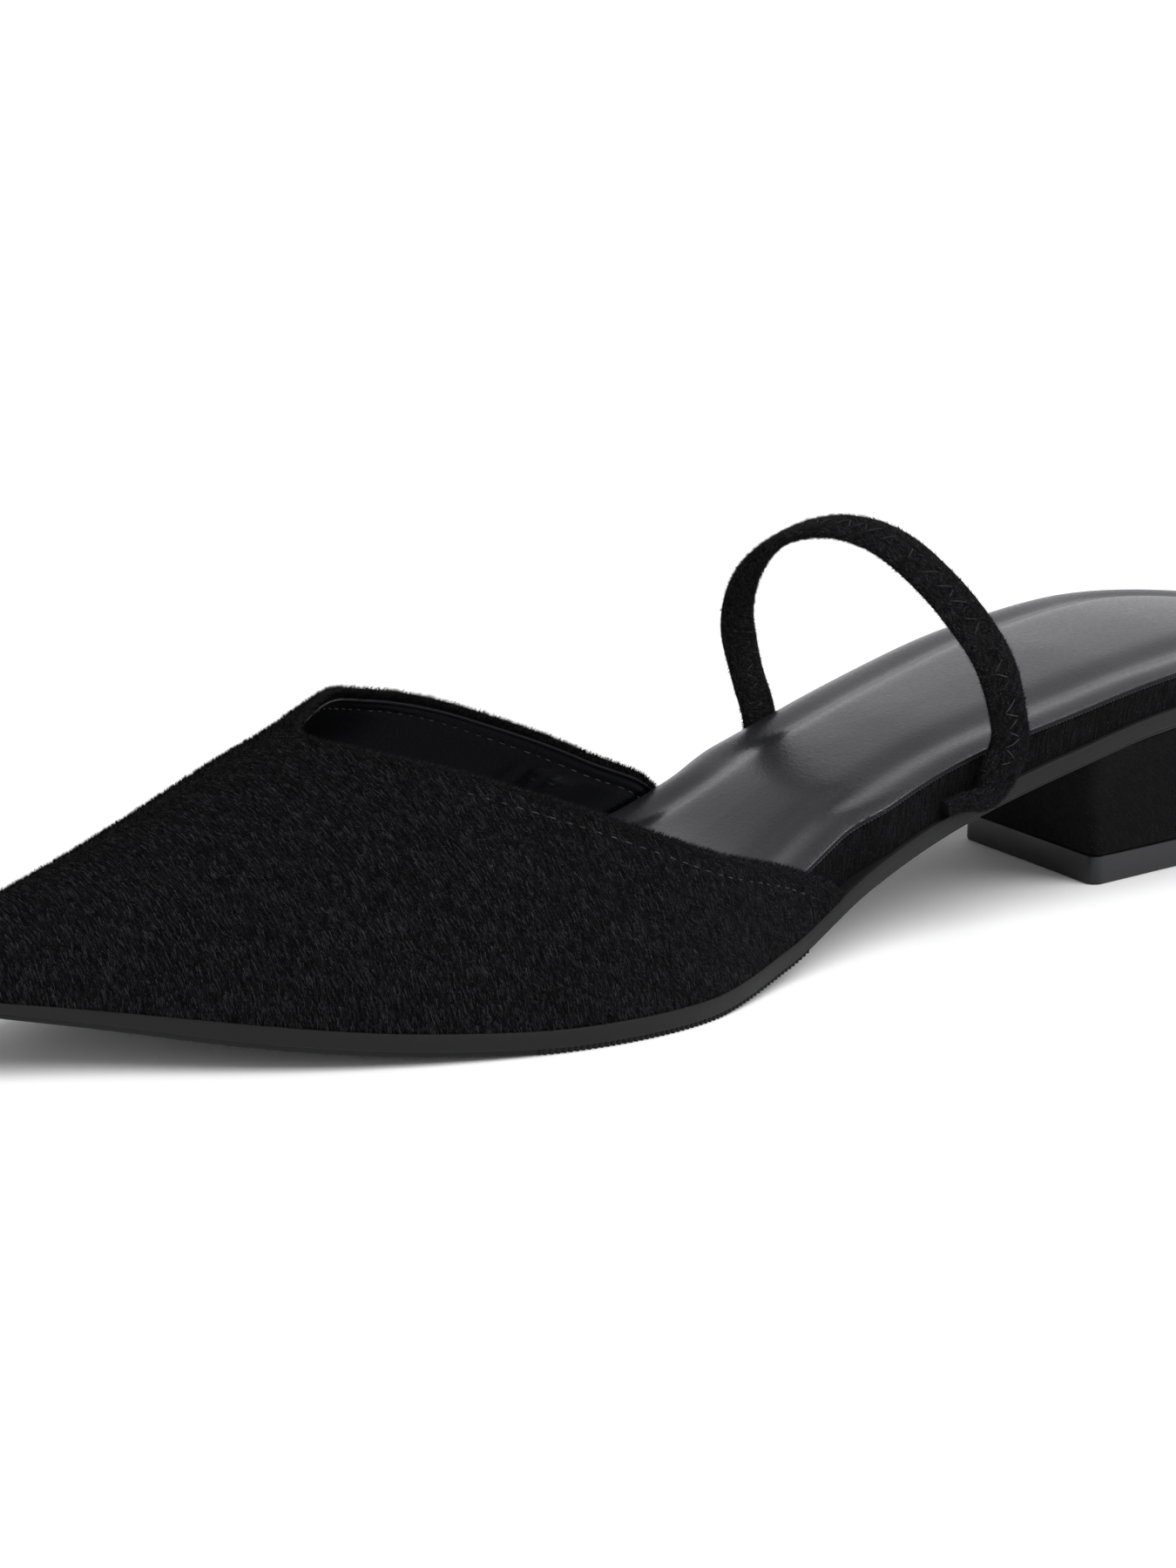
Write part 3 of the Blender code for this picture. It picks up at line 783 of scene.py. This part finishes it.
def vamp():
    """The vamp's suede, folded over at the topline and tucked under at the sole, and its nap."""
    around = across_upper(230)
    tip = SOLE_LENGTH - UPPER_INSET - TOE_ROUND / 200
    fold_start = from_topline(around, FOLD_RADIUS)
    share = (np.linspace(0, 1, 170) ** 1.15)[:, None]
    along = tip + (fold_start - tip) * share
    rows = [upper_surface(along, around[None, :])]
    rows[0][0] = rows[0][0].mean(axis=0)
    for turn in np.linspace(0.3, np.pi, 9):
        back = FOLD_RADIUS * (1 - np.sin(turn))
        depth = FOLD_RADIUS * (1 - np.cos(turn)) * np.ones_like(around)
        rows.append(upper_at(around, back, depth)[None])
    rows.append(upper_at(around, FOLD_END, 2 * FOLD_RADIUS * np.ones_like(around))[None])
    sheet = np.concatenate(rows)
    outside = len(along)
    flat = upper_cloth(along, around[None, :])
    folded = np.cumsum(np.linalg.norm(np.diff(sheet[outside - 1 :], axis=0), axis=2), axis=0)
    flat = np.concatenate([flat, flat[-1] + folded[..., None] * (1, 0, 0)])
    flat = np.pad(flat, ((0, 0), (len(TUCK), len(TUCK)), (0, 0)), mode="edge")
    piece("vamp", [grid(tucked(sheet), flipped=True)], SUEDE, ("upper",), flat)
    down = unit(np.gradient(sheet, axis=0) + 1e-12)
    lean = unit(down - 0.4 * unit(np.gradient(sheet, axis=1) + 1e-12))
    lean[:outside] = upper_nap(along, around[None, :])
    shown, flank, fold = slice(-1), slice(outside), slice(outside - 3, -1)
    layers = ((shown, VAMP_NAP), (shown, VAMP_TUFTS), (flank, VAMP_STROKES), (fold, FOLD_NAP))
    fibres = [nap(sheet[part], lean[part], flipped=True, **layer) for part, layer in layers]
    piece("vamp_nap", fibres, FIBRES, flat=fibre_tones(fibres, seed=6))


def cloth_coordinates(points):
    """The cloth's own coordinates: the distance along its rows and columns, in metres."""
    down = np.linalg.norm(np.diff(points, axis=0), axis=2)
    over = np.linalg.norm(np.diff(points, axis=1), axis=2)
    flat = np.zeros(points.shape)
    flat[1:, :, 0] = np.cumsum(down, axis=0)
    flat[:, 1:, 1] = np.cumsum(over, axis=1)
    flat[..., 1] -= flat[:, points.shape[1] // 2, 1][:, None]
    return flat


def crease_depth(along, around):
    """How far the lining stands into the shoe in its creases."""
    depth = np.zeros(np.broadcast(along, around).shape)
    for at, centre, run, height in zip(*CREASES.values()):
        turn = around - centre
        off = along - SOLE_LENGTH * at - run * SOLE_LENGTH * turn
        ridge = np.exp(-((off / CREASE_WIDTH) ** 2)) * np.exp(-((turn / CREASE_LENGTH) ** 2))
        depth += CREASE_DEPTH * height * ridge
    return depth


def lining():
    """The vamp's smooth lining, from its folded edge to the creases low on its medial side."""
    around = across_upper(200)
    ones = np.ones_like(around)
    fold_back, fold_depth = 1.15 * MM, UPPER_WALL - 0.55 * LINING_FOLD
    rows = [upper_at(around, LINING_START, (2 * FOLD_RADIUS + 0.05 * MM) * ones)]
    for turn in np.linspace(-np.pi / 2, 0.8 * np.pi, 10):
        back = fold_back - LINING_FOLD * np.cos(turn)
        rows.append(upper_at(around, back, (fold_depth + LINING_FOLD * np.sin(turn)) * ones))
    for back, depth in LINING_PROFILE:
        rows.append(upper_at(around, back * MM, depth * MM * ones))
    start = from_topline(around, LINING_INSIDE)
    end = SOLE_LENGTH * LINING_END
    share = (np.linspace(0, 1, 120) ** 1.1)[:, None]
    along = start + (end - start) * share
    out = upper_frame(along, around[None, :])[2]
    depth = UPPER_WALL + crease_depth(along, around[None, :])
    inside = upper_surface(along, around[None, :]) - out * depth[..., None]
    sheet = np.concatenate([np.stack(rows), inside])
    flat = cloth_coordinates(sheet)
    piece("vamp_lining", [grid(sheet, flipped=True)], LINING, flat=flat)


def thread_radii(share, count):
    """The thread's radius along each of a number of stitches, pinched at both ends."""
    return np.tile(THREAD_RADIUS * np.sqrt(1.02 - (2 * share - 1) ** 4), (count, 1))


def stitch_row(surface, around, seed, show=1.0):
    """Stitches along a line, which sink into the nap past the last place that shows them."""
    walked = walked_along(surface(around)[0])
    random = np.random.default_rng(seed)
    starts = np.arange(STITCH_PITCH, walked[-1] - STITCH_PITCH, STITCH_PITCH)
    starts = starts + random.uniform(-0.12, 0.12, len(starts)) * STITCH_PITCH
    length = STITCH_LENGTH * random.uniform(0.75, 1.1, (len(starts), 1))
    share = np.linspace(0, 1, 6)
    at = np.interp(starts[:, None] + length * share, walked, around)
    points, normals = surface(at)
    past = np.clip((at - show) / STITCH_SINKS_OVER, 0, 1)
    sunk = random.uniform(-0.2, 0.9, (len(starts), 1)) + STITCH_SINKS * past
    bow = THREAD_RADIUS * (1.3 - 6 * (share - 0.5) ** 2 - sunk)
    paths = points + normals * bow[..., None]
    return tubes(paths, normals, thread_radii(share, len(starts)))


def topline_stitches():
    """The two rows of stitches under the topline, outside and on the lining."""

    def outside(at):
        along = from_topline(at, STITCH_FROM_EDGE)
        return upper_surface(along, at), upper_frame(along, at)[2]

    def inside(at):
        along = from_topline(at, LINING_STITCH_FROM_EDGE)
        normal = -upper_frame(along, at)[2]
        return upper_surface(along, at) + normal * (UPPER_WALL - 0.06 * MM), normal

    around = np.linspace(*STITCHED, 900)
    rows = [stitch_row(outside, around, 11, STITCHES_SHOW), stitch_row(inside, around, 12)]
    piece("topline_stitches", rows, THREAD)


def strap_frame(step):
    """The strap's middle line and its unit vectors: along it, across its width and outward."""

    def line(at):
        along = SOLE_LENGTH * smooth(STRAP, "along", at)
        reach = half_width(along, RIM_INSET) + CLEARANCE + STRAP_THICKNESS / 2
        across = middle(along) + reach * smooth(STRAP, "across", at)
        return place(along, across, seam(along) + STRAP_ARCH * smooth(STRAP, "lift", at))

    point = line(step)
    run = unit(line(step + 0.1) - line(step - 0.1))
    heart = (line(np.array(0.0)) + line(np.array(STRAP["step"][-1]))) / 2
    outward = unit((point - heart) * (1, 0, 1))
    outward[..., 1] = -smooth(STRAP, "tilt", step)
    outward = unit(outward - run * dot(outward, run))
    return point, run, np.cross(run, outward), outward


def strap():
    """The elastic band in its suede sleeve, with its nap and its zigzag seam on both faces."""
    step = np.linspace(0, STRAP["step"][-1], 420)
    point, run, breadth, outward = strap_frame(step)
    wide = STRAP_WIDTH / 2 * smooth(STRAP, "width", step)[:, None]
    turn = np.linspace(0, 2 * np.pi, 36, endpoint=False)
    across = np.sign(np.cos(turn)) * np.abs(np.cos(turn)) ** STRAP_SQUARENESS[0]
    out = np.sign(np.sin(turn)) * np.abs(np.sin(turn)) ** STRAP_SQUARENESS[1]
    crown = 1 - STRAP_CROWN + STRAP_CROWN * (1 - across**2)
    ring = point[:, None] + breadth[:, None] * (wide * across)[..., None]
    ring = ring + outward[:, None] * (STRAP_THICKNESS / 2 * out * crown)[None, :, None]
    closed = np.concatenate([ring, ring[:, :1]], axis=1)
    flat = cloth_coordinates(closed)[:, :-1]
    piece("strap_band", [loft(ring, flipped=True)], STRAP_SUEDE, ("strap",), flat)
    lean = unit(np.gradient(closed, axis=0) + 0.3 * np.gradient(closed, axis=1))
    fibres = [nap(closed, lean, flipped=True, **layer) for layer in (STRAP_NAP, STRAP_TUFTS)]
    piece("strap_nap", fibres, STRAP_FIBRES, flat=fibre_tones(fibres, seed=9))
    seams = [zigzag(1, *ZIGZAG_OUTSIDE, seed=5), zigzag(-1, *ZIGZAG_INSIDE, seed=6)]
    piece("strap_zigzag", seams, STRAP_THREAD)


def zigzag(face, start, end, seed):
    """Zigzag stitches along the strap's outer (1) or inner (-1) face, each leg bowed."""
    dense = np.linspace(start, end, 500)
    walked = walked_along(strap_frame(dense)[0])
    legs = np.arange(0, walked[-1] - ZIGZAG_PITCH, ZIGZAG_PITCH / 2)
    share = np.linspace(0, 1, 7)
    step = np.interp(legs[:, None] + ZIGZAG_PITCH / 2 * share, walked, dense)
    point, _, breadth, outward = strap_frame(step)
    up = outward * face
    swing = ZIGZAG_WIDTH * (share - 0.5) * np.where(np.arange(len(legs)) % 2, -1, 1)[:, None]
    random = np.random.default_rng(seed)
    sunk = random.uniform(-0.05, 0.30, (len(legs), 1)) * MM
    bow = STRAP_THICKNESS / 2 + ZIGZAG_PROUD - ZIGZAG_BOW * (share - 0.5) ** 2 - sunk
    paths = point + breadth * swing[..., None] + up * bow[..., None]
    return tubes(paths, up, thread_radii(share, len(legs)))


def footbed_edge(along, height):
    """The footbed's lateral and medial edge at a height over the outsole."""
    half = footbed_half(along, height)
    up = seam(along) + height
    return place(along, middle(along) + half, up), place(along, middle(along) - half, up)


def rim():
    """The suede cover round the footbed, with a bead along its top edge."""
    along = sole_stations(RIM_INSET, SOLE_LENGTH - FOOTBED_END, FOOTBED_SPACING)
    top = rim_height(along) - INSOLE_EDGE
    profile = [(0.05 * MM * np.ones_like(along), 0.0), (0.5 * top, 0.0)]
    for turn in np.linspace(0, np.pi / 2, 6):
        down, inset = 1 - np.sin(turn), 1 - np.cos(turn)
        profile.append((top - RIM_SHOULDER * down, RIM_SHOULDER * inset))
    profile.append((top, RIM_TURN_IN))
    lateral, medial = [], []
    for height, inset in profile:
        half = footbed_half(along, height)
        half = np.maximum(half - inset, half / 2)
        lateral.append(place(along, middle(along) + half, seam(along) + height))
        medial.append(place(along, middle(along) - half, seam(along) + height))
    sheet = np.stack(lateral + medial[::-1], 1)
    heel_end = sheet[0]
    cap = heel_end, [list(range(len(heel_end)))]
    flat = np.concatenate([cloth_coordinates(sheet).reshape(-1, 3), heel_end])
    piece("rim_cover", [grid(sheet), cap], SUEDE, ("footbed_rim",), flat)
    shown = np.searchsorted(along, RIM_NAP_END * SOLE_LENGTH)
    fibres = []
    for side, seed, flipped in ((lateral, 20, False), (medial, 21, True)):
        points = np.stack(side, 1)[:shown, :-1]
        lean = unit(np.gradient(points, axis=0) + 1e-12)
        fibres.append(nap(points, lean, seed=seed, flipped=flipped, **RIM_NAP))
    piece("rim_nap", fibres, FIBRES, flat=fibre_tones(fibres, seed=22))
    edge_bead()


def edge_bead():
    """The line of tiny bright beads where the insole's edge meets the rim's cover."""
    start = RIM_INSET + 0.1 * MM
    turn = np.linspace(0.02, np.pi / 2, 200)
    heel = start + HEEL_ROUND * (1 - np.cos(turn))
    along = np.concatenate([heel, np.arange(heel[-1], BEADS_END * SOLE_LENGTH, 0.12 * MM)])
    height = rim_height(along) - INSOLE_EDGE + 0.12 * MM
    lateral, medial = footbed_edge(along, height)
    inward = np.minimum(0.2 * MM, footbed_half(along, height) / 2)[:, None] * (1, 0, 0)
    path = np.concatenate([(medial + inward)[::-1], lateral - inward])
    walked = walked_along(path)
    even = np.arange(0, walked[-1], BEAD_PITCH / 5)
    path = np.stack([np.interp(even, walked, path[:, i]) for i in range(3)], 1)
    radii = BEAD_RADIUS * (0.62 + 0.38 * np.cos(2 * np.pi * even / BEAD_PITCH))
    ups = np.tile((0.0, 0.0, 1.0), (1, len(path), 1))
    piece("edge_bead", [tubes(path[None], ups, radii[None])], BEAD)


def insole():
    """The padded sock: a raised border, a pressed groove, a dome inside it and a shade-painted
    edge.
    """
    along = sole_stations(RIM_INSET, SOLE_LENGTH - FOOTBED_END, FOOTBED_SPACING)
    height = rim_height(along)
    half = footbed_half(along, height)
    lateral, medial = footbed_edge(along, height)
    outline = np.concatenate([lateral, medial[::-1]])[::2, :2]
    share = np.sin(np.linspace(np.pi / 2, -np.pi / 2, 150))
    across = middle(along)[:, None] + half[:, None] * share
    plan = place(along[:, None], across, 0)[..., :2].reshape(-1, 2)
    from_edge = distance_to(plan, outline).reshape(across.shape)
    inward = np.clip(from_edge / full_half(along)[:, None], 0, 1)
    dome = INSOLE_DOME * np.sin(np.pi / 2 * inward) ** INSOLE_FULLNESS
    dome = dome - INSOLE_SHOULDER * (1 - np.clip(from_edge / SHOULDER_WIDTH, 0, 1)) ** 2
    groove = INSOLE_GROOVE * np.exp(-(((from_edge - GROOVE_FROM_EDGE) / GROOVE_WIDTH) ** 2))
    roll = INSOLE_ROUND * (rounding(from_edge, INSOLE_ROUND) - 1)
    edge = (seam(along) + height)[:, None]
    top = place(along[:, None], across, edge + dome - groove + roll)
    low = edge[:, 0] - INSOLE_EDGE + CLEARANCE
    sides = [place(along, middle(along) + sign * half, low)[:, None] for sign in (1, -1)]
    ring = np.concatenate([sides[0], top, sides[1]], axis=1)
    sock = piece("insole_sock", [loft(ring)], SOCK, ("insole",))
    # Faces that rise less than EDGE_SLOPE take the darker edge leather: painted shade along the
    # insole's edge.
    sock.data.materials.append(SHADED_SOCK_EDGE)
    for face in sock.data.polygons:
        face.material_index = int(face.normal.z < EDGE_SLOPE)


def distance_to(points, outline):
    """How far each point lies from a closed outline, both in the plane."""
    best = np.full(len(points), np.inf)
    ends = np.roll(outline, -1, axis=0)
    for start, end in zip(outline, ends):
        side = end - start
        share = np.clip((points - start) @ side / max(side @ side, 1e-15), 0, 1)
        best = np.minimum(best, np.linalg.norm(points - start - share[:, None] * side, axis=1))
    return best


def outsole():
    """The thin rubber sole, bevelled at the seam, with fine teeth along the edge of its tread."""
    along = sole_stations(0, SOLE_LENGTH, TREAD_PITCH / 6)
    half = half_width(along)
    share = half / full_half(along)
    low, top = underside(along), seam(along)
    treaded = (along > TREAD_START * SOLE_LENGTH) & (along < TREAD_END * SOLE_LENGTH)
    wave = 0.5 + 0.5 * np.cos(2 * np.pi * along / TREAD_PITCH)
    tooth = np.where(treaded, TOOTH_STEP + (1 - TOOTH_STEP) * wave, 1.0)
    foot = half - TREAD_STEP * tooth * share
    step = low + TREAD_HEIGHT
    groove = low + TREAD_GROOVE * np.where(treaded, wave, 0)
    bevel = np.minimum(SEAM_BEVEL, half / 3)
    soft = 0.12 * MM
    outline = [
        (0.5 * half, top),
        (half - 3 * bevel, top),
        (half - bevel, top),
        (half - 0.35 * bevel, top - 0.25 * bevel),
        (half, top - bevel),
        (half, 0.5 * (top + step)),
        (half, step + soft),
        (half - soft * share, step),
        (foot + soft * share, step),
        (foot, step - soft),
        (foot, low + soft),
        (foot - soft * share, low),
        (0.97 * foot, groove),
        (0.5 * foot, groove),
    ]
    lateral = [place(along, middle(along) + side, up) for side, up in outline]
    medial = [place(along, middle(along) - side, up) for side, up in reversed(outline)]
    body = loft(np.stack(lateral + medial, 1), flipped=True)
    piece("sole_rubber", [body], OUTSOLE, ("outsole",), sharp=35)


def lift_half(along):
    """Half of the top lift's width: nearly square in front, narrower and rounded at the back."""
    back = (LIFT_FRONT - along) / (LIFT_FRONT - LIFT_BACK)
    return (LIFT_WIDTH / 2 - LIFT_TAPER * back) * rounding(along - LIFT_BACK, LIFT_ROUND)


def heel_side(level, side):
    """One side of the heel's outline at a level, from back to front: 1 is lateral, -1 medial."""
    turn = np.linspace(0.02, np.pi / 2, 28)
    depth = LIFT_FRONT - LIFT_BACK
    corner = HEEL_CORNER / depth
    back = HEEL_BACK * (1 - np.cos(turn))
    front = 1 - corner * (1 - np.sin(turn[::2]))
    share = np.concatenate([back, np.linspace(back[-1], front[0], 24)[1:-1], front])
    skew = side * HEEL_SKEW / 2 * share
    seat = HEEL_INSET + (HEEL_DEPTH - HEEL_INSET) * share + skew
    lift = LIFT_BACK + depth * share
    half = half_width(seat, HEEL_INSET) * (1 - level) + lift_half(lift) * level
    half = half * (1 - 4 * level * (1 - level) * HEEL_WAIST / (LIFT_WIDTH / 2))
    half = half - HEEL_CORNER * (1 - rounding((1 - share) * depth, HEEL_CORNER))
    centre = middle(seat) * (1 - level) + middle(LIFT_FRONT) * level
    top = underside(seat) - CLEARANCE
    height = top + (LIFT_THICKNESS + CLEARANCE - top) * level
    return place(seat + (lift + skew - seat) * level, centre + side * half, height)


def heel_ring(level):
    """The heel's outline at a level, from its seat (0) to its top lift (1)."""
    return np.concatenate([heel_side(level, 1), heel_side(level, -1)[::-1]])


def heel():
    """The covered block, in a suede painted in shade, and its rubber top lift."""
    block = np.stack([heel_ring(level) for level in np.linspace(0, 1, 40)])
    closed = np.concatenate([block, block[:, :1]], axis=1)
    flat = cloth_coordinates(closed)[:, :-1]
    piece("heel_cover", [loft(block)], SHADED_HEEL_SUEDE, ("heel_block",), flat)
    lean = unit(np.gradient(closed, axis=0))
    fibres = [nap(closed, lean, **HEEL_NAP)]
    piece("heel_nap", fibres, FIBRES, flat=fibre_tones(fibres, seed=32))
    outline = heel_ring(1)
    centre = outline.mean(axis=0)
    inner = 0.3 * LIFT_EDGE
    low = [(LIFT_EDGE, 0), (inner, inner), (0, LIFT_EDGE), (0, 1.5 * LIFT_EDGE)]
    high = [(LIFT_THICKNESS - up, inset) for up, inset in reversed(low)]
    rings = []
    for up, inset in high + low:
        ring = outline - unit((outline - centre) * (1, 1, 0)) * inset
        ring[:, 2] = up
        rings.append(ring)
    piece("top_lift", [loft(np.stack(rings))], LIFT, ("heel_top_lift",), sharp=40)


def stage_floor():
    """A plain pale floor and a soft white studio around it."""
    mesh = bpy.data.meshes.new("floor")
    signs = ((-1, -1), (1, -1), (1, 1), (-1, 1))
    corners = [(x * FLOOR_REACH, y * FLOOR_REACH, 0) for x, y in signs]
    mesh.from_pydata(corners, [], [(0, 1, 2, 3)])
    floor = bpy.data.objects.new("floor", mesh)
    bpy.context.scene.collection.objects.link(floor)
    mesh.materials.append(new_material("floor", (FLOOR_TONE,) * 3, 0.9, 0.1)[0])
    bpy.context.scene.world = studio()


def studio():
    """A white studio, dimmer overhead and before the toe, and white all round at the horizon."""
    world = bpy.data.worlds.new("studio")
    world.use_nodes = True
    tree = world.node_tree
    direction = tree.nodes.new("ShaderNodeTexCoord").outputs["Generated"]
    split = tree.nodes.new("ShaderNodeSeparateXYZ")
    tree.links.new(direction, split.inputs["Vector"])
    overhead = ranged(tree, split.outputs["Z"], *OVERHEAD_FROM, 1, OVERHEAD)
    to_light = tree.nodes.new("ShaderNodeVectorMath")
    to_light.operation = "DOT_PRODUCT"
    to_light.inputs[1].default_value = LIGHT_SIDE
    tree.links.new(direction, to_light.inputs[0])
    toward = ranged(tree, to_light.outputs["Value"], *BEFORE_TOE_FROM, BEFORE_TOE, 1)
    dimmed = tree.nodes.new("ShaderNodeMath")
    dimmed.operation = "MULTIPLY"
    tree.links.new(overhead, dimmed.inputs[0])
    tree.links.new(toward, dimmed.inputs[1])
    above = ranged(tree, split.outputs["Z"], *WHITE_TO, 0, 1)
    strength = mixed(tree, above, (1.0, 1.0, 1.0), dimmed.outputs["Value"])
    background = tree.nodes["Background"]
    background.inputs["Color"].default_value = (*SKY, 1)
    tree.links.new(strength, background.inputs["Strength"])
    return world


def sun():
    """One very soft light from the lateral side and above."""
    light = bpy.data.lights.new("sun", "SUN")
    light.energy = SUN_POWER
    light.angle = SUN_ANGLE
    obj = bpy.data.objects.new("sun", light)
    obj.rotation_euler = Vector(SUN_FROM).to_track_quat("Z", "Y").to_euler()
    bpy.context.scene.collection.objects.link(obj)


def camera():
    """The photograph's viewpoint, level but for a slight roll."""
    look = Vector(CAMERA_LOOK).normalized()
    level = look.cross((0, 0, 1)).normalized()
    upright = level.cross(look)
    cos, sin = np.cos(CAMERA_ROLL), np.sin(CAMERA_ROLL)
    right = level * cos + upright * sin
    up = upright * cos - level * sin
    data = bpy.data.cameras.new("camera")
    data.lens = CAMERA_LENS
    data.sensor_width = CAMERA_SENSOR
    obj = bpy.data.objects.new("camera", data)
    turned = Matrix((right, up, -look)).transposed().to_4x4()
    obj.matrix_world = Matrix.Translation(CAMERA_PLACE) @ turned
    bpy.context.scene.collection.objects.link(obj)
    bpy.context.scene.camera = obj


vamp()
lining()
topline_stitches()
strap()
rim()
insole()
outsole()
heel()
stage_floor()
sun()
camera()
bpy.context.scene.view_settings.view_transform = "Standard"
